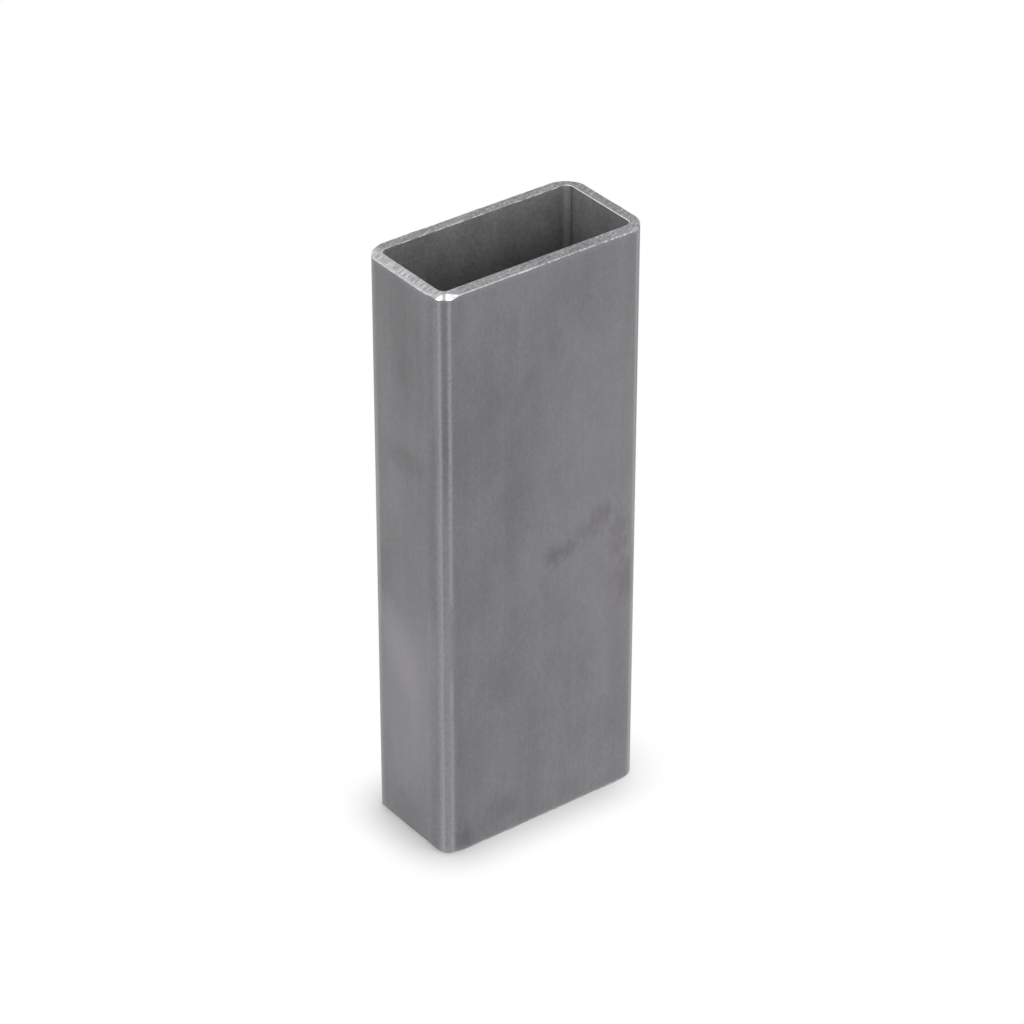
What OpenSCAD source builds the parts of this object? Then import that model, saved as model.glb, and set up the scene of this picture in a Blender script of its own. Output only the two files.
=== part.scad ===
// Rectangular hollow section, a short sawn length of cold-formed structural steel tube.
// It stands on one cut end. X runs across the wide faces, Y across the narrow ones, Z along the tube.
// The origin is the middle of the lower cut end.

/* [Section] */
// Outside width, across the wide face
section_w = 60; // [40:1:120]
// Outside depth, across the narrow face
section_d = 30; // [24:1:80]
// Thickness of the flat walls
wall_t = 3; // [2:0.5:5]
// Radius of the outer corners
outer_r = 5.8; // [4:0.1:7]
// Radius of the inner corners, tighter than the outer radius less the wall
inner_r = 1.8; // [1:0.1:4]

/* [Length] */
// Length from one cut end to the other
length = 155; // [40:1:1000]

/* [Cut ends] */
// Width of the deburred edge round the outside of each cut end
outer_break = 0.65; // [0.2:0.05:1]
// Width of the deburred edge round the inside of each cut end
inner_break = 0.1; // [0.05:0.05:0.5]

/* [Hidden] */

// Facets round a full turn of a corner
$fn = 96;
// How far the hollow is cut past both ends
past_end = 1;
// Bare rolled steel
steel = [0.50, 0.50, 0.51];

// One side of a bar seen edge on: half its thickness at each height, from z = 0 to z = tall.
// edge_break takes a 45 degree break off each end when positive, and flares each end when negative.
// past carries the end outline straight on beyond both ends.
function side_outline(half, tall, edge_break, past) = concat(
    past > 0 ? [[half - edge_break, -past]] : [],
    [
        [half - edge_break, 0],
        [half, abs(edge_break)],
        [half, tall - abs(edge_break)],
        [half - edge_break, tall]
    ],
    past > 0 ? [[half - edge_break, tall + past]] : []
);

function mirrored(points) = [for (i = [len(points) - 1:-1:0]) [-points[i].x, points[i].y]];

// Upright slab, wide along X and half * 2 thick along Y, with its long edges broken at both ends
module slab(wide, half, tall, edge_break, past) {
    outline = side_outline(half, tall, edge_break, past);
    rotate([90, 0, 90])
        translate([0, 0, -wide / 2])
            linear_extrude(height = wide)
                polygon(concat(outline, mirrored(outline)));
}

// Upright round corner with the same broken ends
module corner_post(r, tall, edge_break, past) {
    outline = side_outline(r, tall, edge_break, past);
    rotate_extrude()
        polygon(concat([[0, outline[0].y]], outline, [[0, outline[len(outline) - 1].y]]));
}

// Upright bar of rounded rectangular section: two crossed slabs and four corner posts
module rounded_bar(w, d, r, tall, edge_break, past = 0) {
    slab(w - 2 * r, d / 2, tall, edge_break, past);
    rotate([0, 0, 90])
        slab(d - 2 * r, w / 2, tall, edge_break, past);
    for (side_x = [-1, 1], side_y = [-1, 1])
        translate([side_x * (w / 2 - r), side_y * (d / 2 - r), 0])
            corner_post(r, tall, edge_break, past);
}

// The tube: one wall running all round, open at both ends
module hollow_section() {
    color(steel)
        difference() {
            rounded_bar(section_w, section_d, outer_r, length, outer_break);
            rounded_bar(
                section_w - 2 * wall_t, section_d - 2 * wall_t, inner_r, length, -inner_break, past_end
            );
        }
}

hollow_section();
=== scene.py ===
import math

import bmesh
import bpy
from mathutils import Matrix, Vector, noise


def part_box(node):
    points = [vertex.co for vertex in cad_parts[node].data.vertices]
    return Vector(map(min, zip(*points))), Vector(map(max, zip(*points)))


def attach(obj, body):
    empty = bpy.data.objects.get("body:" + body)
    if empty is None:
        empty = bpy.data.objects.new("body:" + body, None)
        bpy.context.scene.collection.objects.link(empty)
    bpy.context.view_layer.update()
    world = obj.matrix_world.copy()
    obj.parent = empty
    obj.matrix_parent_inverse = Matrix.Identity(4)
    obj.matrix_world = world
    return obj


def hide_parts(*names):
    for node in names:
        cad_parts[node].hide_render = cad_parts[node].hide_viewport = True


bl_info = {
    "name": "Rectangular Hollow Section",
    "version": (1, 0, 0),
    "blender": (4, 5, 0),
    "location": "View3D > Sidebar > Steel Section",
    "description": "Builds a sawn length of rectangular steel tube with its finish and a studio stage",
    "category": "Add Mesh",
}

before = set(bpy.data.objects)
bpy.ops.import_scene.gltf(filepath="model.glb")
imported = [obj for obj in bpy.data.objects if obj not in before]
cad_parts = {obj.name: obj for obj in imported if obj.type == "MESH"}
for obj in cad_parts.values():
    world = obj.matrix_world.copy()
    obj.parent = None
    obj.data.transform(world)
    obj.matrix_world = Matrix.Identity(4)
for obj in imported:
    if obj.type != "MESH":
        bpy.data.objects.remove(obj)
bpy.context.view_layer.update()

NODE = "hollow_section"
BODY = "root"
MM = 0.001
LOW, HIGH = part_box(NODE)
WIDTH, DEPTH, LENGTH = HIGH - LOW


class SectionSizes(bpy.types.PropertyGroup):
    """Sizes of the section and of its cut ends."""

    wall: bpy.props.FloatProperty(
        name="Wall", description="Thickness of the flat walls", default=3 * MM, unit="LENGTH",
    )
    outer_radius: bpy.props.FloatProperty(
        name="Outer radius", description="Radius of the outer corners", default=5.8 * MM, unit="LENGTH",
    )
    inner_radius: bpy.props.FloatProperty(
        name="Inner radius", description="Radius of the inner corners", default=1.8 * MM, unit="LENGTH",
    )
    edge_break: bpy.props.FloatProperty(
        name="Outer edge break", description="Filed edge round the outside of a cut end",
        default=0.65 * MM, unit="LENGTH",
    )
    inner_break: bpy.props.FloatProperty(
        name="Inner edge break", description="Scraped edge round the inside of a cut end",
        default=0.13 * MM, unit="LENGTH",
    )
    corner_filing: bpy.props.FloatProperty(
        name="Corner filing", description="Extra width of the filed edge at the most filed corner",
        default=0.65 * MM, unit="LENGTH",
    )
    foot_wear: bpy.props.FloatProperty(
        name="Foot wear", description="Extra height of the worn edge round the lower end",
        default=0.3 * MM, unit="LENGTH",
    )
    saw_depth: bpy.props.FloatProperty(
        name="Saw mark depth", description="Depth of the marks that the saw left on the cut ends",
        default=0.03 * MM, unit="LENGTH",
    )
    saw_spacing: bpy.props.FloatProperty(
        name="Saw mark spacing", description="Distance from one saw mark to the next",
        default=0.9 * MM, unit="LENGTH",
    )
    saw_turn: bpy.props.FloatProperty(
        name="Saw mark turn", description="Direction of the saw marks, from across the wide side",
        default=math.radians(21), subtype="ANGLE",
    )
    station: bpy.props.FloatProperty(
        name="Station", description="Distance between mesh lines round the section",
        default=0.25 * MM, unit="LENGTH",
    )


class SteelColours(bpy.types.PropertyGroup):
    """Colours of the bare steel, each as it renders in plain light, and the tones that paint highlights
    and shade onto it.
    """

    mill: bpy.props.FloatVectorProperty(
        name="Mill finish", description="Outside of the tube", subtype="COLOR", size=3,
        default=(0.2145, 0.2145, 0.222),
    )
    # Lighter tone that paints the highlights along the corners and the light on the faces; a few light
    # patches of the steel share it.
    light_patch_and_highlight: bpy.props.FloatVectorProperty(
        name="Light patch and highlight", description="Lighter steel: painted highlights and light, and light patches", subtype="COLOR", size=3,
        default=(0.33, 0.328, 0.338),
    )
    # Brown stains, also used for the painted shade on the upper part of the narrow face.
    stain_and_shade: bpy.props.FloatVectorProperty(
        name="Stain", description="Thin brown stain on the mill finish", subtype="COLOR", size=3,
        default=(0.125, 0.112, 0.116),
    )
    bore: bpy.props.FloatVectorProperty(
        name="Inside", description="Inside of the tube", subtype="COLOR", size=3,
        default=(0.48, 0.48, 0.49),
    )
    # Darker inside tone, painted as shade away from the cut ends.
    bore_shaded: bpy.props.FloatVectorProperty(
        name="Inside, deeper", description="Inside of the tube away from the cut ends", subtype="COLOR",
        size=3, default=(0.33, 0.33, 0.332),
    )
    sawn: bpy.props.FloatVectorProperty(
        name="Sawn end", description="Fresh steel on the cut ends", subtype="COLOR", size=3,
        default=(0.281, 0.279, 0.291),
    )
    filed: bpy.props.FloatVectorProperty(
        name="Filed edge", description="Bright edge left by deburring", subtype="COLOR", size=3,
        default=(0.67, 0.67, 0.68),
    )
    # Brightest tone of the scraped inner edge, painted as a highlight along the far narrow side.
    scraped_highlight: bpy.props.FloatVectorProperty(
        name="Scraped edge", description="Brightest scraping, on the far narrow side", subtype="COLOR",
        size=3, default=(0.88, 0.88, 0.89),
    )


class StageSettings(bpy.types.PropertyGroup):
    """Camera and studio light."""

    azimuth: bpy.props.FloatProperty(
        name="Azimuth", description="Camera azimuth, 0 looks along +Y", default=math.radians(-36.913),
        subtype="ANGLE",
    )
    elevation: bpy.props.FloatProperty(
        name="Elevation", description="Camera height above the horizon", default=math.radians(32.597),
        subtype="ANGLE",
    )
    distance: bpy.props.FloatProperty(
        name="Distance", description="From the camera to the middle of the tube", default=0.9926,
        unit="LENGTH",
    )
    aim_right: bpy.props.FloatProperty(
        name="Aim right", description="How far right of the middle the camera aims", default=1.29 * MM,
        unit="LENGTH",
    )
    aim_up: bpy.props.FloatProperty(
        name="Aim up", description="How far above the middle the camera aims", default=2.68 * MM,
        unit="LENGTH",
    )
    lens: bpy.props.FloatProperty(
        name="Lens", description="Focal length of the camera", default=146.73, unit="CAMERA",
    )
    lamp_power: bpy.props.FloatProperty(
        name="Lamp power", description="Power of the softboxes for each square metre", default=8.0,
        unit="POWER",
    )
    lamp_distance: bpy.props.FloatProperty(
        name="Lamp distance", description="From the upper end of the tube to each softbox", default=0.9,
        unit="LENGTH",
    )
    lamp_height: bpy.props.FloatProperty(
        name="Lamp height", description="Height of each softbox", default=0.40, unit="LENGTH",
    )
    shadow_reach: bpy.props.FloatProperty(
        name="Shadow reach", description="How far the soft shadow spreads over the floor",
        default=12 * MM, unit="LENGTH",
    )


# Mesh of the tube

CORNER_STEPS = 32
BREAK_STEPS = 6
RIM_RINGS = 12
WALL_LEVELS = 8
ON_PLANE = 0.001 * MM


def rounded_ring(bm, size, radius, cuts):
    """One closed ring of edges on the floor: a rectangle whose corners a vertex bevel has rounded."""
    place = Matrix.Diagonal((size.x, size.y, 1, 1))
    corners = bmesh.ops.create_grid(bm, x_segments=1, y_segments=1, size=0.5, matrix=place)["verts"]
    bmesh.ops.bevel(
        bm, geom=corners, offset=radius, offset_type="OFFSET", segments=CORNER_STEPS,
        profile=0.5, affect="VERTICES", material=-1,
    )
    bmesh.ops.delete(bm, geom=bm.faces[:], context="FACES_ONLY")
    for axis in (0, 1):
        flats = [e for e in bm.edges if abs(e.verts[0].co[axis] - e.verts[1].co[axis]) > size[axis] / 2]
        bmesh.ops.subdivide_edges(bm, edges=flats, cuts=cuts[axis])
    return bm.edges[:]


def extrude_ring(bm, ring, place):
    """Extrudes a ring of edges, puts each new vertex where place says and returns the new ring."""
    made = bmesh.ops.extrude_edge_only(bm, edges=ring)["geom"]
    ring = [g for g in made if isinstance(g, bmesh.types.BMEdge)]
    for v in {v for e in ring for v in e.verts}:
        v.co = place(v.co)
    return ring


def raise_wall(bm, ring):
    """Extrudes a ring from the lower end to the upper one in equal steps."""
    for k in range(WALL_LEVELS):
        ring = extrude_ring(bm, ring, lambda p: Vector((p.x, p.y, LENGTH * (k + 1) / WALL_LEVELS)))
    return ring


def nearest_core(point, radius):
    """The nearest point of the rectangle that the corner radii turn about."""
    core = (WIDTH / 2 - radius, DEPTH / 2 - radius)
    return Vector([max(-c, min(c, p)) for c, p in zip(core, point)])


def from_outline(point, radius):
    """The way out of the section at a point of its wall, and how deep in from the outline the point is."""
    out = Vector(point[:2]) - nearest_core(point, radius)
    return out.normalized(), radius - out.length


def across_wall(point, sizes):
    """The place on the inside of the wall that faces a point of its outside."""
    near = nearest_core(point, sizes.outer_radius)
    out = (Vector(point[:2]) - near).normalized()
    inner_corner = sizes.wall + sizes.inner_radius
    share_x = (WIDTH / 2 - inner_corner) / (WIDTH / 2 - sizes.outer_radius)
    share_y = (DEPTH / 2 - inner_corner) / (DEPTH / 2 - sizes.outer_radius)
    x = near.x * share_x + out.x * sizes.inner_radius
    y = near.y * share_y + out.y * sizes.inner_radius
    return Vector((x, y, point.z))


def soft_noise(point, size, seed):
    """Smooth noise from about -1 to 1, with bumps about as wide as size."""
    return noise.noise(Vector(point) / size + Vector((seed, -seed, seed / 2)))


def end_of(point):
    """Height of the cut end that a point is nearer to, and how far from that end the point lies."""
    end = LENGTH if point.z > LENGTH / 2 else 0.0
    return end, abs(end - point.z)


def ring_at(bm, sizes, depth):
    """Edges of both cut ends that run round the section, on its outline or inside of its wall."""
    def belongs(v):
        if end_of(v.co)[1] > ON_PLANE:
            return False
        inset = from_outline(v.co, sizes.outer_radius)[1]
        return inset < ON_PLANE if depth == 0 else inset > depth / 2
    return [e for e in bm.edges if all(belongs(v) for v in e.verts)]


# How well each corner of the upper cut end is filed, by its sides on X and Y.
CORNER_FILED = {(-1, -1): 1.0, (-1, 1): 0.05, (1, -1): 0.4, (1, 1): 0.25}

# Where the file catches a rolled corner: angle from where the wide face looks, reach either way, and fade.
FILE_ANGLE = math.radians(37.5)
FILE_REACH = math.radians(38)
FILE_FADE = math.radians(24)

# Shares of the edge break that the file takes off across the cut end and down the wall.
FILED_ACROSS = 0.72
FILED_DOWN = 0.65

# Waves of the filed edge: share of the edge break, width of the waves, seed.
WAVES_ACROSS = ((0.25, 5 * MM, 3), (0.2, 1.1 * MM, 7))
WAVES_DOWN = ((0.2, 4 * MM, 11), (0.15, 0.9 * MM, 5))

# What is left of the waves at a well filed corner, and how much the edge bulges on a face and there.
CORNER_WAVES = 0.1
FACE_BULGE = 0.5
CORNER_BULGE = 0.1

# On the left face the foot is worn higher by this many foot wears.
LEFT_FOOT_WEAR = 3.0


def filed_share(out):
    """How well the file caught the edge where the wall faces this way: 1 at a corner, 0 on a face."""
    off = abs(math.atan2(abs(out.x), abs(out.y)) - FILE_ANGLE)
    share = max(0.0, min(1.0, (FILE_REACH - off) / FILE_FADE))
    return share * share * (3 - 2 * share)


def waves(place, kinds):
    """Sum of the waves at a place."""
    return sum(share * soft_noise(place, size, seed) for share, size, seed in kinds)


def break_outer_edges(bm, edges, sizes):
    """Breaks the outer edges of the cut ends as a file does: unevenly, and more at the corners."""
    b = sizes.edge_break
    bmesh.ops.bevel(
        bm, geom=edges, offset=b, offset_type="OFFSET", segments=BREAK_STEPS,
        profile=0.5, affect="EDGES", material=-1, clamp_overlap=False,
    )
    for v in bm.verts:
        end, drop = end_of(v.co)
        out, inset = from_outline(v.co, sizes.outer_radius)
        if drop > b + ON_PLANE or inset > b + ON_PLANE:
            continue
        turn = math.atan2(b - drop, b - inset)
        place = Vector((v.co.x, v.co.y, end))
        filed = filed_share(out)
        ripple = b * (1.0 - (1.0 - CORNER_WAVES) * filed)
        wide = b * FILED_ACROSS + ripple * waves(place, WAVES_ACROSS)
        deep = b * FILED_DOWN + ripple * waves(place, WAVES_DOWN)
        if end > 0:
            corner = (-1 if v.co.x < 0 else 1, -1 if v.co.y < 0 else 1)
            extra = sizes.corner_filing * filed * CORNER_FILED[corner]
            wide += extra
            deep += extra
        else:
            on_face = 1.0 - (2 * out.x * out.y) ** 2
            deep += sizes.foot_wear * on_face * (1.0 + LEFT_FOOT_WEAR * max(0.0, -out.x))
        share = turn / (math.pi / 2)
        bulge = FACE_BULGE + (CORNER_BULGE - FACE_BULGE) * filed
        new_inset = wide * ((1 - bulge) * share + bulge * (1 - math.cos(turn)))
        new_drop = deep * ((1 - bulge) * (1 - share) + bulge * (1 - math.sin(turn)))
        v.co.x -= out.x * (new_inset - inset)
        v.co.y -= out.y * (new_inset - inset)
        v.co.z = end - new_drop if end > 0 else new_drop


def break_inner_edges(bm, edges, sizes):
    """Scrapes the inner edges of the cut ends."""
    bmesh.ops.bevel(
        bm, geom=edges, offset=sizes.inner_break, offset_type="OFFSET", segments=2,
        profile=0.5, affect="EDGES", material=-1, clamp_overlap=False,
    )


# The saw wanders a little, and its marks are fine ones over broad ones, each with a length of its own.
SAW_WANDER = 0.4 * MM
WANDER_RUN = 9 * MM
FINE_MARK_RUN = 8 * MM
BROAD_MARK_RUN = 15 * MM


def saw_relief(point, sizes):
    """Depth of the saw's marks at a point of a cut end: uneven ridges in one direction."""
    along = point.x * math.cos(sizes.saw_turn) + point.y * math.sin(sizes.saw_turn)
    across = point.y * math.cos(sizes.saw_turn) - point.x * math.sin(sizes.saw_turn)
    across += SAW_WANDER * soft_noise(point, WANDER_RUN, 21)
    seed = point.z / MM
    fine = noise.noise(Vector((across * 2.0 / sizes.saw_spacing, along / FINE_MARK_RUN, seed)))
    broad = noise.noise(Vector((across * 0.5 / sizes.saw_spacing, along / BROAD_MARK_RUN, seed + 40)))
    return sizes.saw_depth * max(0.0, 0.5 + 0.6 * fine + 0.3 * broad)


def saw_ends(bm, sizes):
    """Rings the cut ends with mesh lines and sinks the saw's marks into them."""
    radial = [
        e for e in bm.edges
        if all(end_of(v.co)[1] < ON_PLANE for v in e.verts) and e.calc_length() > 0.5 * MM
    ]
    bmesh.ops.subdivide_edges(bm, edges=radial, cuts=RIM_RINGS)
    for v in bm.verts:
        end, drop = end_of(v.co)
        if drop < ON_PLANE:
            relief = saw_relief(v.co, sizes)
            v.co.z = end - relief if end > 0 else relief


OUTSIDE, INSIDE, SAWN, FILED, SCRAPED = range(5)

# Least height of the normal of a face in a cut end, and of a face that an edge break made.
FLAT_NORMAL = 0.97
SLANTED_NORMAL = 0.05


def sort_faces(bm, sizes):
    """Gives each face the finish of its place, and keeps the borders between finishes sharp."""
    for f in bm.faces:
        middle = f.calc_center_median()
        drop = end_of(middle)[1]
        inset = from_outline(middle, sizes.outer_radius)[1]
        tilt = abs(f.normal.z)
        f.smooth = True
        if drop < 2 * sizes.saw_depth and tilt > FLAT_NORMAL:
            f.material_index = SAWN
        elif inset < sizes.wall / 2:
            f.material_index = FILED if tilt > SLANTED_NORMAL else OUTSIDE
        else:
            f.material_index = SCRAPED if tilt > SLANTED_NORMAL else INSIDE
    for e in bm.edges:
        e.smooth = len({f.material_index for f in e.link_faces}) == 1


def tube_mesh(sizes):
    """The whole tube as one closed mesh: walls, cut ends, broken edges and saw marks."""
    bm = bmesh.new()
    cuts = [round((span - 2 * sizes.outer_radius) / sizes.station) - 1 for span in (WIDTH, DEPTH)]
    outer = rounded_ring(bm, Vector((WIDTH, DEPTH)), sizes.outer_radius, cuts)
    inner = extrude_ring(bm, outer, lambda p: across_wall(p, sizes))
    raise_wall(bm, inner)
    outer_top = raise_wall(bm, outer)
    extrude_ring(bm, outer_top, lambda p: across_wall(p, sizes))
    bmesh.ops.remove_doubles(bm, verts=bm.verts, dist=ON_PLANE)
    bmesh.ops.recalc_face_normals(bm, faces=bm.faces)
    break_inner_edges(bm, ring_at(bm, sizes, sizes.wall), sizes)
    break_outer_edges(bm, ring_at(bm, sizes, 0.0), sizes)
    saw_ends(bm, sizes)
    sort_faces(bm, sizes)
    mesh = bpy.data.meshes.new("sawn_tube")
    bm.to_mesh(mesh)
    bm.free()
    return mesh


# Building blocks for the finishes


def add_node(tree, kind, inputs=None, **settings):
    """Adds a shader node, sets its settings, and links or fills its inputs."""
    node = tree.nodes.new("ShaderNode" + kind)
    for name, value in settings.items():
        setattr(node, name, value)
    for name, value in (inputs or {}).items():
        if isinstance(value, bpy.types.NodeSocket):
            tree.links.new(value, node.inputs[name])
        else:
            node.inputs[name].default_value = value
    return node


def calc(tree, operation, a, b=0.0, c=0.0, clamp=False):
    """One step of arithmetic on sockets or numbers."""
    values = {0: a, 1: b, 2: c}
    return add_node(tree, "Math", values, operation=operation, use_clamp=clamp).outputs[0]


def rescale(tree, value, low, high, to_low, to_high, smooth=True):
    """Maps a range of a value to another range, held at its ends."""
    inputs = {"Value": value, "From Min": low, "From Max": high, "To Min": to_low, "To Max": to_high}
    kind = "SMOOTHSTEP" if smooth else "LINEAR"
    return add_node(tree, "MapRange", inputs, interpolation_type=kind).outputs["Result"]


def blend(tree, share, first, second, mode="MIX"):
    """Mixes two colours."""
    inputs = {0: share, 6: colour(first), 7: colour(second)}
    return add_node(tree, "Mix", inputs, data_type="RGBA", blend_type=mode).outputs[2]


def colour(value):
    """A colour with its alpha, or a socket as it is."""
    return value if isinstance(value, bpy.types.NodeSocket) else (*value, 1.0)


def vary(tree, base, value, amount):
    """Lightens and darkens a colour by a value from 0 to 1."""
    factor = rescale(tree, value, 0.0, 1.0, 1 - amount, 1 + amount, smooth=False)
    grey = add_node(tree, "CombineXYZ", {"X": factor, "Y": factor, "Z": factor}).outputs[0]
    return blend(tree, 1.0, base, grey, mode="MULTIPLY")


def tint(tree, base, mask, change):
    """Lightens a colour by a share of itself where a mask is full, or darkens it by a negative share."""
    return vary(tree, base, calc(tree, "MULTIPLY_ADD", mask, 0.5, 0.5), change)


def object_coordinates(tree):
    """The place on the piece itself, in metres."""
    return add_node(tree, "TexCoord").outputs["Object"]


def grain(tree, coordinates, size, detail=2.0, roughness=0.5, distortion=0.0):
    """Noise from 0 to 1 with bumps about as wide as size."""
    inputs = {
        "Vector": coordinates, "Scale": 1 / size, "Detail": detail,
        "Roughness": roughness, "Distortion": distortion,
    }
    return add_node(tree, "TexNoise", inputs).outputs["Fac"]


def stretched(tree, coordinates, scale, turn=0.0, shift=(0.0, 0.0, 0.0)):
    """Coordinates turned about Z and scaled along each axis."""
    turned = add_node(
        tree, "Mapping", {"Vector": coordinates, "Rotation": (0.0, 0.0, -turn), "Location": shift}
    ).outputs[0]
    return add_node(tree, "Mapping", {"Vector": turned, "Scale": scale}).outputs[0]


def multiply(tree, coordinates, scale):
    """Coordinates times a scale for each axis."""
    inputs = {0: coordinates, 1: scale}
    return add_node(tree, "VectorMath", inputs, operation="MULTIPLY").outputs[0]


def in_units(tree, coordinates, size):
    """Coordinates in units of a size."""
    inputs = {0: coordinates, "Scale": calc(tree, "DIVIDE", 1.0, size)}
    return add_node(tree, "VectorMath", inputs, operation="SCALE").outputs[0]


def start_group(name, inputs, outputs):
    """Starts a node group with named sockets: returns its tree, its inputs and its end node."""
    tree = bpy.data.node_groups.new(name, "ShaderNodeTree")
    for socket, kind, value in inputs:
        made = tree.interface.new_socket(socket, in_out="INPUT", socket_type="NodeSocket" + kind)
        made.default_value = value
    for socket in outputs:
        tree.interface.new_socket(socket, in_out="OUTPUT", socket_type="NodeSocketFloat")
    start = tree.nodes.new("NodeGroupInput")
    end = tree.nodes.new("NodeGroupOutput")
    return tree, start.outputs, end


def use_group(tree, group, inputs):
    """Places a node group in a tree, with values or links for its inputs."""
    return add_node(tree, "Group", inputs, node_tree=group).outputs


# Effects that more than one finish uses


def drawn_lines_group():
    """Fine lines along the tube, from the rolls and the draw bench."""
    tree, given, end = start_group(
        "Drawn Lines",
        [
            ("Coordinates", "Vector", (0, 0, 0)), ("Spacing", "Float", 0.4 * MM),
            ("Run", "Float", 60 * MM),
        ],
        ["Lines"],
    )
    across = calc(tree, "DIVIDE", 1.0, given["Spacing"])
    along = calc(tree, "DIVIDE", 1.0, given["Run"])
    scale = add_node(tree, "CombineXYZ", {"X": across, "Y": across, "Z": along}).outputs[0]
    place = multiply(tree, given["Coordinates"], scale)
    fine = grain(tree, place, 1.0, detail=3.0, roughness=0.65)
    coarse = grain(tree, place, 4.0, detail=1.0)
    both = calc(tree, "MULTIPLY_ADD", coarse, 0.4, calc(tree, "MULTIPLY", fine, 0.6))
    tree.links.new(rescale(tree, both, 0.3, 0.7, 0.0, 1.0, smooth=False), end.inputs["Lines"])
    return tree


def mottling_group():
    """Cloudy patches, slightly drawn out along the tube, with a second value for their hue."""
    tree, given, end = start_group(
        "Mottling",
        [("Coordinates", "Vector", (0, 0, 0)), ("Patch", "Float", 12 * MM)],
        ["Shade", "Hue"],
    )
    place = in_units(tree, given["Coordinates"], given["Patch"])
    drawn = stretched(tree, place, (1.0, 1.0, 0.45))
    shade = grain(tree, drawn, 1.0, detail=4.0, roughness=0.6, distortion=0.4)
    hue = grain(tree, stretched(tree, place, (0.8, 0.8, 0.5), shift=(7.0, 3.0, 5.0)), 1.0, detail=2.0)
    tree.links.new(rescale(tree, shade, 0.3, 0.7, 0.0, 1.0, smooth=False), end.inputs["Shade"])
    tree.links.new(rescale(tree, hue, 0.35, 0.65, 0.0, 1.0), end.inputs["Hue"])
    return tree


def speckle_group():
    """Fine specks, a little longer along the tube than across it."""
    tree, given, end = start_group(
        "Speckle", [("Coordinates", "Vector", (0, 0, 0)), ("Size", "Float", 0.5 * MM)], ["Specks"],
    )
    place = in_units(tree, given["Coordinates"], given["Size"])
    specks = grain(tree, stretched(tree, place, (1.0, 0.65, 0.55)), 1.0, detail=2.0, roughness=0.7)
    tree.links.new(rescale(tree, specks, 0.3, 0.7, 0.0, 1.0, smooth=False), end.inputs["Specks"])
    return tree


def spot_group():
    """One soft, ragged spot: full in its middle and gone at its reach."""
    tree, given, end = start_group(
        "Spot",
        [
            ("Coordinates", "Vector", (0, 0, 0)), ("Place", "Vector", (0, 0, 0)),
            ("Turn", "Vector", (0, 0, 0)), ("Reach", "Vector", (1, 1, 1)), ("Raggedness", "Float", 0.5),
        ],
        ["Mask"],
    )
    local = add_node(
        tree, "Mapping",
        {
            "Vector": given["Coordinates"], "Location": given["Place"],
            "Rotation": given["Turn"], "Scale": given["Reach"],
        },
        vector_type="TEXTURE",
    ).outputs[0]
    away = add_node(tree, "VectorMath", {0: local}, operation="LENGTH").outputs["Value"]
    ragged = grain(tree, stretched(tree, given["Coordinates"], (1.0, 1.0, 0.5)), 1.5 * MM, detail=3.0)
    offset = calc(tree, "MULTIPLY", calc(tree, "SUBTRACT", ragged, 0.5), given["Raggedness"])
    reach = calc(tree, "MULTIPLY_ADD", offset, 2.0, away)
    tree.links.new(rescale(tree, reach, 0.15, 1.0, 1.0, 0.0), end.inputs["Mask"])
    return tree


def saw_marks_group(sizes):
    """Straight uneven marks in one direction, as a saw leaves them."""
    tree, given, end = start_group(
        "Saw Marks",
        [("Coordinates", "Vector", (0, 0, 0)), ("Spacing", "Float", 1 * MM)],
        ["Marks", "Bands"],
    )
    turned = add_node(
        tree, "Mapping", {"Vector": given["Coordinates"], "Rotation": (0.0, 0.0, -sizes.saw_turn)}
    ).outputs[0]
    across = calc(tree, "DIVIDE", 1.0, given["Spacing"])
    along = calc(tree, "MULTIPLY", across, 0.08)
    scale = add_node(tree, "CombineXYZ", {"X": along, "Y": across, "Z": 1.0}).outputs[0]
    place = multiply(tree, turned, scale)
    fine = grain(tree, place, 0.36, detail=3.0, roughness=0.6)
    bands = grain(tree, place, 2.4, detail=1.0)
    tree.links.new(rescale(tree, fine, 0.32, 0.68, 0.0, 1.0), end.inputs["Marks"])
    tree.links.new(rescale(tree, bands, 0.3, 0.7, 0.0, 1.0), end.inputs["Bands"])
    return tree


def corner_line_group(sizes):
    """A line along each rolled corner, at an angle that drifts a little on the way down."""
    tree, given, end = start_group(
        "Corner Line",
        [
            ("Coordinates", "Vector", (0, 0, 0)), ("Angle", "Float", 0.5),
            ("Drift", "Float", 0.05), ("Spread", "Float", 0.05),
            ("Inset", "Float", sizes.outer_radius),
        ],
        ["Mask"],
    )
    parts = add_node(tree, "SeparateXYZ", {0: given["Coordinates"]}).outputs
    x = calc(tree, "SUBTRACT", calc(tree, "ABSOLUTE", parts["X"]), WIDTH / 2)
    y = calc(tree, "SUBTRACT", calc(tree, "ABSOLUTE", parts["Y"]), DEPTH / 2)
    x = calc(tree, "MAXIMUM", calc(tree, "ADD", x, given["Inset"]), 0.0)
    y = calc(tree, "MAXIMUM", calc(tree, "ADD", y, given["Inset"]), 0.0)
    round_corner = calc(tree, "ARCTAN2", x, y)
    wander = grain(tree, stretched(tree, given["Coordinates"], (0.2, 0.2, 1.0)), 30 * MM)
    wander = calc(tree, "MULTIPLY", calc(tree, "SUBTRACT", wander, 0.5), 0.08)
    down = calc(tree, "MULTIPLY_ADD", parts["Z"], -1 / LENGTH, 1.0)
    line = calc(tree, "MULTIPLY_ADD", given["Drift"], down, given["Angle"])
    off = calc(tree, "ADD", calc(tree, "SUBTRACT", round_corner, line), wander)
    off = calc(tree, "DIVIDE", calc(tree, "ABSOLUTE", off), given["Spread"])
    mask = rescale(tree, off, 0.0, 1.0, 1.0, 0.0)
    tree.links.new(mask, end.inputs["Mask"])
    return tree


# Finishes


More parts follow.
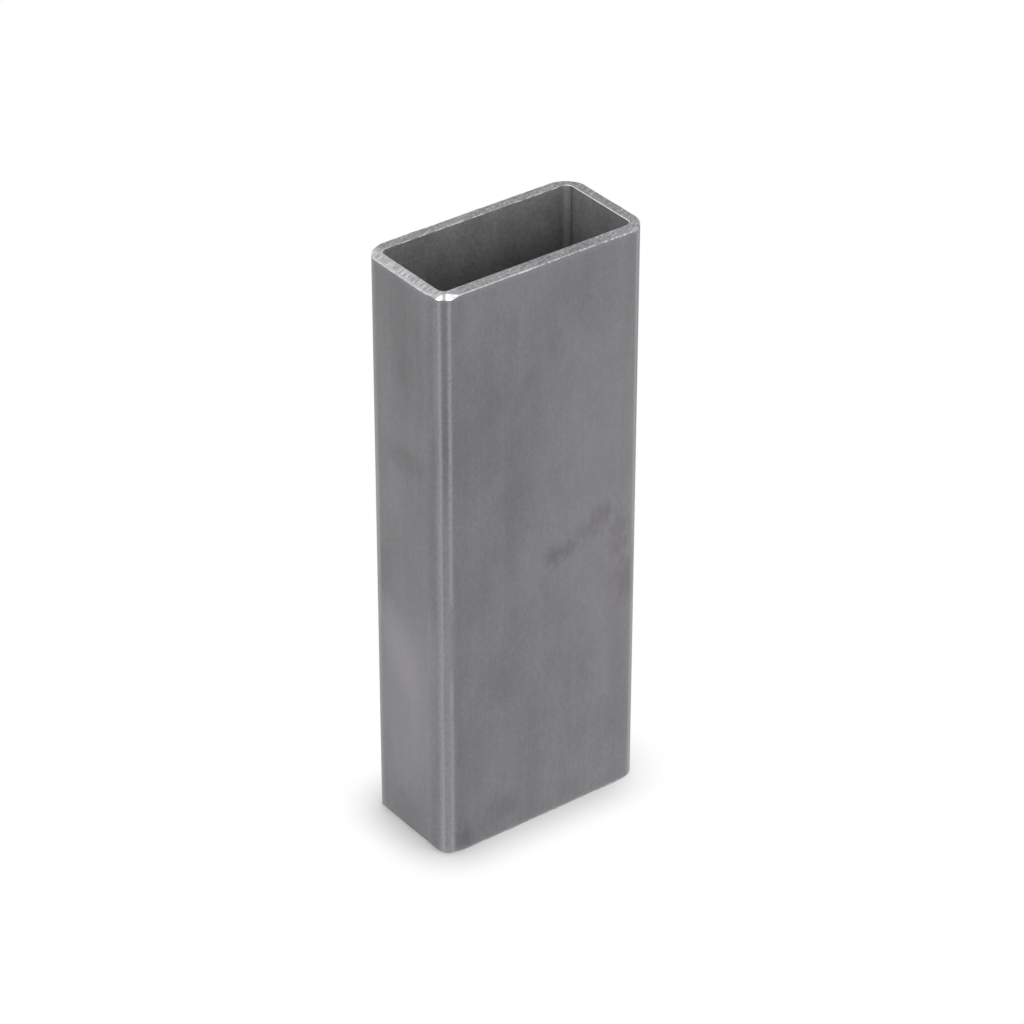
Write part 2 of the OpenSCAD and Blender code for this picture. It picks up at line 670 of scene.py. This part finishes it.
def start_finish(name):
    """A new material with a metal shader: returns the material, its tree and the shader."""
    material = bpy.data.materials.new(name)
    material.use_nodes = True
    tree = material.node_tree
    shader = tree.nodes["Principled BSDF"]
    shader.inputs["Metallic"].default_value = 1.0
    return material, tree, shader


def set_relief(tree, shader, height, depth):
    """Turns a height from 0 to 1 into the shader's bump."""
    bump = add_node(tree, "Bump", {"Height": height, "Distance": depth, "Strength": 1.0})
    tree.links.new(bump.outputs[0], shader.inputs["Normal"])


# Painted highlights along each rolled corner, where the two softboxes reflect: angle, drift down the tube
# and spread in degrees, strength.
CORNER_HIGHLIGHTS = {
    "broad_highlight": (37, 0, 24, 0.5),
    "first": (27, 1.5, 8, 0.95),
    "second": (49.5, 0.5, 7, 0.95),
    "second_edge": (56, 0, 13, 0.3),
    "third": (55.5, 0.5, 4.5, 0.4),
}

# Painted light and shade down each inner corner, a lighter band where the fillet catches light from the
# open end and a darker one on its shaded side: angle and spread in degrees, change of tone.
INNER_CORNER_LIGHT_AND_SHADE = ((28, 30, 0.18), (77, 15, -0.42))

# Marks on the faces: place and reach across and up in mm, turn in degrees, strength, raggedness.
# upper_shade is painted shade on the upper part of the narrow face; the foot marks darken both faces near
# the floor.
WIDE_FACE_MARKS = {
    "smudge": (3.0, 75.0, 4.5, 4.0, 25, 0.6, 1.0),
    "smudge_right": (7.6, 75.5, 4.2, 3.4, 0, 0.45, 1.0),
    "smudge_trail": (12.0, 78.0, 5.0, 4.5, 0, 0.4, 1.0),
    "smudge_end": (17.2, 81.0, 5.0, 5.0, 0, 0.55, 1.0),
    "warm_upper": (22.5, 74.0, 4.6, 10.0, 0, 0.45, 1.0),
    "warm_lower": (24.8, 61.0, 4.6, 10.0, 0, 0.45, 1.0),
    "soft_upper": (-13.4, 122.3, 7.0, 8.0, 0, 0.14, 0.6),
    "soft_middle": (-11.1, 95.3, 7.0, 8.0, 15, 0.14, 0.6),
    "soft_lower": (-12.3, 44.2, 5.0, 9.0, 0, 0.2, 0.8),
    "soft_centre": (2.4, 45.1, 5.0, 8.0, 0, 0.14, 0.6),
    "soft_right": (17.6, 23.3, 6.0, 7.0, 0, 0.15, 0.6),
    "soft_foot": (-12.4, 8.1, 7.0, 6.0, 0, 0.3, 0.6),
    "soft_foot_right": (25.0, 16.0, 4.0, 7.0, 0, 0.15, 0.5),
    "soft_left": (-21.0, 27.0, 6.5, 20.0, 0, 0.13, 0.4),
    "soft_band": (21.0, 54.0, 4.0, 36.0, 0, 0.22, 0.4),
    "foot_corner": (-24.1, 4.1, 4.0, 6.0, 0, 0.5, 0.9),
    "top_patch": (6.2, 146.5, 9.0, 6.0, 0, 0.16, 0.6),
}
NARROW_FACE_MARKS = {
    "upper_shade": (-2.0, 143.0, 11.0, 22.0, 0, 0.3, 0.3),
    "upper_patch": (-1.0, 129.7, 7.0, 9.0, 0, 0.22, 0.5),
    "streak": (-1.5, 107.0, 13.0, 5.0, -5, 0.3, 0.6),
    "foot": (-1.0, 4.0, 14.0, 15.0, 0, 0.45, 0.35),
}
# Painted light on the faces, in the same columns: lighter where the light falls, as on the right of the
# wide face, with a painted highlight along the far edge of the narrow face; slanted_patch is a light patch
# of the steel.
WIDE_FACE_PAINTED_LIGHT = {
    "light_side": (20.0, 85.0, 27.0, 85.0, 0, 0.26, 0.2),
    "light_top": (-6.0, 152.0, 26.0, 12.0, 0, 0.14, 0.2),
    "light_middle": (-4.5, 72.0, 8.0, 16.0, 0, 0.21, 0.4),
    "light_corner": (-21.8, 147.0, 4.5, 14.0, 0, 0.16, 0.2),
}
NARROW_FACE_PAINTED_LIGHT = {
    "slanted_patch": (2.8, 52.0, 8.5, 18.0, -30, 0.4, 0.25),
    "light_zone": (-2.0, 44.0, 22.0, 34.0, 0, 0.32, 0.2),
    "edge_line": (10.4, 88.0, 1.3, 55.0, 0, 0.7, 0.2),
    "corner_side": (-10.6, 61.0, 3.0, 15.0, 0, 0.26, 0.2),
}

# Lighter and darker parts of the upper cut end: place and reach on X and Y in mm, change of tone.
RIM_TONES = {
    "front_corner": (-25.0, -13.0, 4.6, 4.0, 0.34),
    "front": (-16.0, -13.5, 13.0, 4.0, 0.07),
    "middle": (0.5, -13.5, 6.5, 4.0, -0.2),
    "right_of_middle": (10.0, -13.5, 5.0, 4.0, -0.16),
    "right": (23.0, -12.5, 10.0, 6.0, 0.17),
    "far_side": (28.5, 4.0, 3.0, 14.0, -0.09),
    "left_corner": (-27.0, 9.0, 5.0, 6.0, 0.17),
    "left_side": (-28.5, 1.0, 4.5, 4.5, 0.3),
    "left_side_end": (-28.0, -6.5, 4.5, 6.5, -0.26),
}


def mark_mask(tree, coordinates, spot, wide_marks, narrow_marks):
    """Marks of both faces as one mask."""
    total = None
    for marks, on_wide_face in ((wide_marks, True), (narrow_marks, False)):
        for across, height, reach_across, reach_up, turn, strength, ragged in marks.values():
            if on_wide_face:
                middle = [across * MM, -DEPTH / 2, height * MM]
                reach = [reach_across * MM, 2 * MM, reach_up * MM]
                turned = [0.0, math.radians(turn), 0.0]
            else:
                middle = [-WIDTH / 2, across * MM, height * MM]
                reach = [2 * MM, reach_across * MM, reach_up * MM]
                turned = [math.radians(turn), 0.0, 0.0]
            mask = use_group(
                tree, spot,
                {
                    "Coordinates": coordinates, "Place": middle, "Turn": turned,
                    "Reach": reach, "Raggedness": ragged,
                },
            )["Mask"]
            missing = calc(tree, "MULTIPLY_ADD", mask, -strength, 1.0)
            total = missing if total is None else calc(tree, "MULTIPLY", total, missing)
    return calc(tree, "SUBTRACT", 1.0, total)


def outside_finish(colours, groups):
    """Bare satin grey steel with drawn lines, cloudy patches and stains, with painted highlights and shade
    along the corners and painted light on the faces.
    """
    material, tree, shader = start_finish("mill_finish_outside")
    place = object_coordinates(tree)
    lines = use_group(tree, groups["lines"], {"Coordinates": place, "Spacing": 0.45 * MM})["Lines"]
    broad = use_group(
        tree, groups["lines"], {"Coordinates": place, "Spacing": 2.2 * MM, "Run": 110 * MM}
    )["Lines"]
    clouds = use_group(tree, groups["mottling"], {"Coordinates": place, "Patch": 11 * MM})
    stains_and_shade = mark_mask(tree, place, groups["spot"], WIDE_FACE_MARKS, NARROW_FACE_MARKS)
    bright = mark_mask(tree, place, groups["spot"], WIDE_FACE_PAINTED_LIGHT, NARROW_FACE_PAINTED_LIGHT)
    base = vary(tree, colours.mill, clouds["Shade"], 0.09)
    base = vary(tree, base, lines, 0.05)
    base = vary(tree, base, broad, 0.035)
    specks = use_group(tree, groups["speckle"], {"Coordinates": place, "Size": 0.5 * MM})["Specks"]
    base = vary(tree, base, specks, 0.085)
    height = add_node(tree, "SeparateXYZ", {0: place}).outputs["Z"]
    lower = rescale(tree, height, LENGTH * 0.36, LENGTH * 0.76, 1.0, 0.0)
    upper = rescale(tree, height, LENGTH * 0.6, LENGTH * 0.8, 0.0, 1.0)
    # Stains, and painted shade on the upper part of the narrow face.
    base = blend(tree, calc(tree, "MULTIPLY", stains_and_shade, 0.8), base, colours.stain_and_shade)
    # Painted light on the faces, in the lighter tone, and a faint pink tint that follows it and is
    # stronger on the lower part.
    base = blend(tree, bright, base, colours.light_patch_and_highlight)
    rosy = calc(tree, "MULTIPLY_ADD", bright, 1.6, calc(tree, "MULTIPLY", clouds["Hue"], 0.3), clamp=True)
    rosy = calc(tree, "MULTIPLY", rosy, calc(tree, "MULTIPLY_ADD", lower, 0.9, 0.1))
    base = blend(tree, rosy, base, (1.035, 1.0, 1.018), mode="MULTIPLY")
    # The broad painted highlight fades towards the top, the first fades out around two fifths of the way
    # up, and the third fades near the top.
    from_line_gap = calc(tree, "ABSOLUTE", calc(tree, "SUBTRACT", height, LENGTH * 0.4))
    line_gap_fade = rescale(tree, from_line_gap, 6 * MM, 14 * MM, 0.2, 1.0)
    fades = {
        "broad_highlight": lower,
        "first": calc(tree, "MULTIPLY_ADD", lower, -0.15, line_gap_fade),
        "third": calc(tree, "SUBTRACT", 1.0, upper),
    }
    uneven = rescale(tree, specks, 0.0, 1.0, 0.75, 1.25)
    # Painted highlights along the corners, in the lighter tone.
    for name, (angle, drift, spread, strength) in CORNER_HIGHLIGHTS.items():
        line = use_group(
            tree, groups["corner"],
            {
                "Coordinates": place, "Angle": math.radians(angle),
                "Drift": math.radians(drift), "Spread": math.radians(spread),
            },
        )["Mask"]
        share = calc(tree, "MULTIPLY", line, strength)
        if name in fades:
            share = calc(tree, "MULTIPLY", share, fades[name])
        share = calc(tree, "MULTIPLY", share, uneven)
        base = blend(tree, share, base, colours.light_patch_and_highlight)
    # Painted shade: the corner is darker between its two highlight lines, on its upper part.
    shade_between_highlights = use_group(
        tree, groups["corner"],
        {"Coordinates": place, "Angle": math.radians(36), "Drift": 0.0, "Spread": math.radians(13)},
    )["Mask"]
    base = tint(tree, base, calc(tree, "MULTIPLY", shade_between_highlights, upper), -0.09)
    # A lighter band just under the upper end, and a painted reflection of the white floor just above the
    # foot.
    near_end = rescale(tree, height, LENGTH - 2.2 * MM, LENGTH - 0.3 * MM, 0.0, 0.3)
    foot_reflection = rescale(tree, height, 0.5 * MM, 2.0 * MM, 0.35, 0.0)
    base = blend(tree, calc(tree, "MAXIMUM", near_end, foot_reflection), base, colours.light_patch_and_highlight)
    tree.links.new(base, shader.inputs["Base Color"])
    rough = calc(tree, "MULTIPLY_ADD", lines, 0.08, 0.34)
    rough = calc(tree, "MULTIPLY_ADD", stains_and_shade, 0.12, rough)
    tree.links.new(rough, shader.inputs["Roughness"])
    set_relief(tree, shader, lines, 0.004 * MM)
    return material


def inside_finish(colours, groups, sizes):
    """The inside: duller steel with broad drawn streaks, painted darker away from the cut ends, and with
    painted light and shade down its corners.
    """
    material, tree, shader = start_finish("mill_finish_inside")
    place = object_coordinates(tree)
    lines = use_group(tree, groups["lines"], {"Coordinates": place, "Spacing": 1.2 * MM})["Lines"]
    clouds = use_group(tree, groups["mottling"], {"Coordinates": place, "Patch": 7 * MM})
    height = add_node(tree, "SeparateXYZ", {0: place}).outputs["Z"]
    from_end = calc(tree, "MINIMUM", height, calc(tree, "SUBTRACT", LENGTH, height))
    # Painted shade: the inside darkens away from the cut ends.
    deeper = rescale(tree, from_end, 7 * MM, 20 * MM, 0.0, 1.0)
    base = blend(tree, deeper, colours.bore, colours.bore_shaded)
    base = vary(tree, base, lines, 0.04)
    base = vary(tree, base, clouds["Shade"], 0.12)
    evened = stretched(tree, place, (1.0, 1.0, 2.0))
    specks = use_group(tree, groups["speckle"], {"Coordinates": evened, "Size": 1.0 * MM})["Specks"]
    base = vary(tree, base, specks, 0.14)
    inset = sizes.wall + sizes.inner_radius
    for angle, spread, change in INNER_CORNER_LIGHT_AND_SHADE:
        band = use_group(
            tree, groups["corner"],
            {
                "Coordinates": place, "Angle": math.radians(angle), "Drift": 0.0,
                "Spread": math.radians(spread), "Inset": inset,
            },
        )["Mask"]
        base = tint(tree, base, band, change)
    tree.links.new(base, shader.inputs["Base Color"])
    tree.links.new(calc(tree, "MULTIPLY_ADD", lines, 0.05, 0.57), shader.inputs["Roughness"])
    set_relief(tree, shader, lines, 0.003 * MM)
    return material


def sawn_finish(colours, groups, sizes):
    """Fresh steel of a cut end, with the saw's marks."""
    material, tree, shader = start_finish("sawn_steel")
    place = object_coordinates(tree)
    saw = use_group(tree, groups["saw"], {"Coordinates": place, "Spacing": sizes.saw_spacing})
    base = vary(tree, colours.sawn, saw["Marks"], 0.24)
    base = vary(tree, base, saw["Bands"], 0.08)
    sawn_way = stretched(tree, place, (0.7, 1.25, 1.0), turn=sizes.saw_turn)
    specks = use_group(tree, groups["speckle"], {"Coordinates": sawn_way, "Size": 0.6 * MM})["Specks"]
    base = vary(tree, base, specks, 0.42)
    for x, y, reach_x, reach_y, change in RIM_TONES.values():
        tone = use_group(
            tree, groups["spot"],
            {
                "Coordinates": place, "Place": (x * MM, y * MM, LENGTH),
                "Reach": (reach_x * MM, reach_y * MM, 9 * MM), "Raggedness": 0.4,
            },
        )["Mask"]
        base = tint(tree, base, tone, change)
    side = add_node(tree, "SeparateXYZ", {0: place}).outputs["X"]
    from_face = calc(tree, "ADD", side, WIDTH / 2)
    bright = rescale(tree, from_face, sizes.wall * 1.6, sizes.wall * 0.6, 0.0, 1.0)
    strokes = rescale(tree, saw["Marks"], 0.2, 0.8, 0.12, 0.94)
    plain = rescale(tree, from_face, sizes.wall * 0.4, sizes.wall * 0.85, 0.0, 0.8)
    strokes = calc(tree, "MULTIPLY", strokes, calc(tree, "SUBTRACT", 1.0, plain))
    strokes = calc(tree, "MULTIPLY_ADD", plain, 0.46, strokes)
    base = blend(tree, calc(tree, "MULTIPLY", bright, strokes), base, colours.filed)
    tree.links.new(base, shader.inputs["Base Color"])
    tree.links.new(calc(tree, "MULTIPLY_ADD", saw["Marks"], 0.12, 0.30), shader.inputs["Roughness"])
    set_relief(tree, shader, saw["Marks"], 0.01 * MM)
    return material


# On the narrow face, the bright filing of the front corner ends along a slanted line: how far out on Y the
# line leaves the upper end, and how much it runs inwards while it falls.
SLANT_START = 12.88 * MM
SLANT_RUN = 0.8 * MM
SLANT_FALL = 1.07 * MM


def filed_finish(colours, groups):
    """Filed outer edges: bright where the file ran, broken here and there by duller steel, with a strip of
    painted shade that splits the glint at the front corner.
    """
    material, tree, shader = start_finish("filed_edge_steel")
    place = object_coordinates(tree)
    parts = add_node(tree, "SeparateXYZ", {0: place}).outputs
    dullest = rescale(tree, parts["X"], -24 * MM, -4 * MM, 0.45, 0.95)
    patches = grain(tree, place, 0.9 * MM, detail=3.0, roughness=0.7)
    dull = rescale(tree, patches, 0.45, 0.58, 0.0, dullest)
    drop = calc(tree, "SUBTRACT", LENGTH, parts["Z"])
    side = rescale(tree, parts["X"], -WIDTH / 2 + 2 * MM, -WIDTH / 2 + 6 * MM, 0.45, 1.0)
    top_strip = calc(tree, "MULTIPLY", side, rescale(tree, drop, 0.1 * MM, 0.24 * MM, 1.0, 0.0))
    foot = rescale(tree, drop, 1.0 * MM, 1.5 * MM, 0.0, 0.45)
    far_corner = rescale(tree, parts["X"], 23 * MM, 27 * MM, 0.0, 0.7)
    well_filed = use_group(
        tree, groups["corner"],
        {"Coordinates": place, "Angle": math.radians(38), "Drift": 0.0, "Spread": math.radians(42)},
    )["Mask"]
    dull = calc(tree, "MAXIMUM", dull, top_strip)
    dull = calc(tree, "MULTIPLY", dull, calc(tree, "SUBTRACT", 1.0, well_filed))
    dull = calc(tree, "MAXIMUM", dull, calc(tree, "MAXIMUM", foot, far_corner))
    end = calc(tree, "MULTIPLY_ADD", parts["Y"], -1 / SLANT_RUN, -SLANT_START / SLANT_RUN)
    slant = calc(tree, "MULTIPLY_ADD", drop, 1 / SLANT_FALL, end)
    slanted = rescale(tree, slant, -0.12, 0.12, 0.9, 0.0)
    only_end = rescale(tree, end, -2.9, -1.8, 0.0, 1.0)
    dull = calc(tree, "MAXIMUM", dull, calc(tree, "MULTIPLY", slanted, only_end))
    # Painted shade: a strip of mill colour, widening downwards, splits the front corner's glint in two.
    widening = rescale(tree, drop, 0.7 * MM, 1.25 * MM, math.radians(8), math.radians(17))
    gaps = use_group(
        tree, groups["corner"],
        {"Coordinates": place, "Angle": math.radians(38.8), "Drift": 0.0, "Spread": widening},
    )["Mask"]
    base = blend(tree, dull, colours.filed, colours.sawn)
    base = blend(tree, calc(tree, "MULTIPLY", gaps, 0.85), base, colours.mill)
    lines = use_group(tree, groups["lines"], {"Coordinates": place, "Spacing": 0.3 * MM})["Lines"]
    base = vary(tree, base, lines, 0.08)
    tree.links.new(base, shader.inputs["Base Color"])
    rough = calc(tree, "MULTIPLY_ADD", well_filed, -0.2, calc(tree, "MULTIPLY_ADD", dull, 0.2, 0.32))
    tree.links.new(calc(tree, "MULTIPLY_ADD", gaps, 0.2, rough), shader.inputs["Roughness"])
    set_relief(tree, shader, grain(tree, place, 0.3 * MM, detail=2.0), 0.003 * MM)
    return material


def scraped_finish(colours):
    """Scraped inner edges: a bright line, broken in places, and whole and painted brighter as a highlight
    on the far narrow side.
    """
    material, tree, shader = start_finish("scraped_edge_steel")
    place = object_coordinates(tree)
    side = add_node(tree, "SeparateXYZ", {0: place}).outputs["X"]
    far = rescale(tree, side, 25 * MM, 26.9 * MM, 0.0, 1.0)
    most = rescale(tree, far, 0.0, 1.0, 0.95, 0.1)
    patches = grain(tree, place, 1.8 * MM, detail=3.0, roughness=0.7)
    gaps = rescale(tree, patches, 0.46, 0.54, 0.0, most)
    # Painted highlight: the line is brighter on the far narrow side.
    line = blend(tree, far, colours.filed, colours.scraped_highlight)
    base = blend(tree, gaps, line, colours.sawn)
    tree.links.new(base, shader.inputs["Base Color"])
    shader.inputs["Roughness"].default_value = 0.3
    return material


class OBJECT_OT_build_section(bpy.types.Operator):
    """Build the sawn tube and give it its steel finishes"""

    bl_idname = "object.build_section"
    bl_label = "Build the tube"

    def execute(self, context):
        sizes = context.scene.section_sizes
        colours = context.scene.steel_colours
        tube = bpy.data.objects.new("sawn_tube", tube_mesh(sizes))
        context.collection.objects.link(tube)
        groups = {
            "lines": drawn_lines_group(),
            "mottling": mottling_group(),
            "speckle": speckle_group(),
            "spot": spot_group(),
            "saw": saw_marks_group(sizes),
            "corner": corner_line_group(sizes),
        }
        for finish in (
            outside_finish(colours, groups),
            inside_finish(colours, groups, sizes),
            sawn_finish(colours, groups, sizes),
            filed_finish(colours, groups),
            scraped_finish(colours),
        ):
            tube.data.materials.append(finish)
        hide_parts(NODE)
        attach(tube, BODY)
        return {"FINISHED"}


# Stage


def add_camera(context, stage):
    """Places the camera where the photograph was taken from."""
    az, el = stage.azimuth, stage.elevation
    back = Vector((math.sin(az) * math.cos(el), -math.cos(az) * math.cos(el), math.sin(el)))
    right = Vector((math.cos(az), math.sin(az), 0.0))
    up = back.cross(right)
    middle = Vector((0.0, 0.0, LENGTH / 2))
    place = middle + back * stage.distance
    ahead = (middle + right * stage.aim_right + up * stage.aim_up - place).normalized()
    right = ahead.cross(up).normalized()
    up = right.cross(ahead)
    data = bpy.data.cameras.new("camera")
    data.lens = stage.lens
    data.sensor_fit = "HORIZONTAL"
    data.sensor_width = 36.0
    data.clip_end = 20.0
    camera = bpy.data.objects.new("camera", data)
    turn = Matrix((right, up, -ahead)).transposed().to_4x4()
    camera.matrix_world = Matrix.Translation(place) @ turn
    context.collection.objects.link(camera)
    context.scene.camera = camera


def add_softbox(context, stage, name, direction, width):
    """A lamp that faces the tube from a direction, square to the picture, and doesn't show itself."""
    data = bpy.data.lights.new(name, "AREA")
    data.shape = "RECTANGLE"
    data.size = width
    data.size_y = stage.lamp_height
    data.energy = stage.lamp_power * width * stage.lamp_height
    lamp = bpy.data.objects.new(name, data)
    way = Vector(direction).normalized()
    picture_right = Vector((math.cos(stage.azimuth), math.sin(stage.azimuth), 0.0))
    tall = way.cross(picture_right).normalized()
    place = Vector((0.0, 0.0, LENGTH)) + way * stage.lamp_distance
    turn = Matrix((tall.cross(way), tall, way)).transposed().to_4x4()
    lamp.matrix_world = Matrix.Translation(place) @ turn
    lamp.visible_camera = False
    context.collection.objects.link(lamp)


def seen_share(tree):
    """1 for what the camera, a reflection or glass sees, and 0 for plain light."""
    path = add_node(tree, "LightPath").outputs
    seen = calc(tree, "MAXIMUM", path["Is Camera Ray"], path["Is Glossy Ray"])
    return calc(tree, "MAXIMUM", seen, path["Is Transmission Ray"])


def white_world(scene):
    """A plain studio: white to look at, and a little less as light."""
    world = bpy.data.worlds.new("studio")
    world.use_nodes = True
    tree = world.node_tree
    background = tree.nodes["Background"]
    background.inputs["Color"].default_value = (1.0, 1.0, 1.0, 1.0)
    strength = rescale(tree, seen_share(tree), 0.0, 1.0, 0.8, 1.0, smooth=False)
    tree.links.new(strength, background.inputs["Strength"])
    scene.world = world


def floor_finish(stage):
    """White floor with a soft shadow close round what stands on it."""
    material = bpy.data.materials.new("studio_floor")
    material.use_nodes = True
    tree = material.node_tree
    plain = tree.nodes["Principled BSDF"]
    plain.inputs["Base Color"].default_value = (0.8, 0.8, 0.8, 1.0)
    plain.inputs["Roughness"].default_value = 0.9
    plain.inputs["Specular IOR Level"].default_value = 0.0
    nearness = add_node(tree, "AmbientOcclusion", {"Distance": stage.shadow_reach}, samples=16)
    open_sky = nearness.outputs["AO"]
    side = add_node(tree, "SeparateXYZ", {0: object_coordinates(tree)}).outputs["X"]
    darkest = rescale(tree, side, -WIDTH / 2, -WIDTH / 4, 0.56, 0.64)
    lighter = rescale(tree, side, WIDTH / 4, WIDTH / 2 + 3 * MM, 0.0, 0.16)
    darkest = calc(tree, "ADD", darkest, lighter)
    shade = rescale(tree, open_sky, 0.5, 0.97, darkest, 1.0, smooth=False)
    path = add_node(tree, "LightPath").outputs
    shade = calc(tree, "MAXIMUM", shade, path["Is Glossy Ray"])
    broad_highlight = add_node(tree, "Emission", {"Color": shade, "Strength": 1.0}).outputs[0]
    mix = add_node(tree, "MixShader", {0: seen_share(tree), 1: plain.outputs[0], 2: broad_highlight})
    tree.links.new(mix.outputs[0], tree.nodes["Material Output"].inputs["Surface"])
    return material


def add_floor(context, stage):
    """A wide flat floor, which isn't part of the object."""
    bm = bmesh.new()
    bmesh.ops.create_grid(bm, x_segments=1, y_segments=1, size=5.0)
    mesh = bpy.data.meshes.new("studio_floor")
    bm.to_mesh(mesh)
    bm.free()
    mesh.materials.append(floor_finish(stage))
    floor = bpy.data.objects.new("studio_floor", mesh)
    context.collection.objects.link(floor)


class SCENE_OT_set_stage(bpy.types.Operator):
    """Set the camera, the two softboxes, the white world and the floor"""

    bl_idname = "scene.set_stage"
    bl_label = "Set the stage"

    def execute(self, context):
        stage = context.scene.stage_settings
        context.scene.view_settings.view_transform = "Standard"
        add_camera(context, stage)
        add_softbox(context, stage, "front_softbox", (-0.09, -0.53, 0.842), 0.29)
        add_softbox(context, stage, "side_softbox", (-0.515, -0.16, 0.842), 0.29)
        white_world(context.scene)
        add_floor(context, stage)
        return {"FINISHED"}


class VIEW3D_PT_steel_section(bpy.types.Panel):
    """Sizes, colours and stage of the steel section"""

    bl_label = "Steel Section"
    bl_idname = "VIEW3D_PT_steel_section"
    bl_space_type = "VIEW_3D"
    bl_region_type = "UI"
    bl_category = "Steel Section"

    def draw(self, context):
        scene = context.scene
        for group in (scene.section_sizes, scene.steel_colours, scene.stage_settings):
            box = self.layout.box()
            for name in group.bl_rna.properties.keys():
                if name not in ("rna_type", "name"):
                    box.prop(group, name)
        self.layout.operator("object.build_section")
        self.layout.operator("scene.set_stage")


CLASSES = (
    SectionSizes,
    SteelColours,
    StageSettings,
    OBJECT_OT_build_section,
    SCENE_OT_set_stage,
    VIEW3D_PT_steel_section,
)


def register():
    """Makes the settings, the operators and the panel known."""
    for cls in CLASSES:
        bpy.utils.register_class(cls)
    bpy.types.Scene.section_sizes = bpy.props.PointerProperty(type=SectionSizes)
    bpy.types.Scene.steel_colours = bpy.props.PointerProperty(type=SteelColours)
    bpy.types.Scene.stage_settings = bpy.props.PointerProperty(type=StageSettings)


def unregister():
    """Takes them away again."""
    del bpy.types.Scene.stage_settings
    del bpy.types.Scene.steel_colours
    del bpy.types.Scene.section_sizes
    for cls in reversed(CLASSES):
        bpy.utils.unregister_class(cls)


def main():
    register()
    bpy.ops.object.build_section()
    bpy.ops.scene.set_stage()


if __name__ == "__main__":
    main()
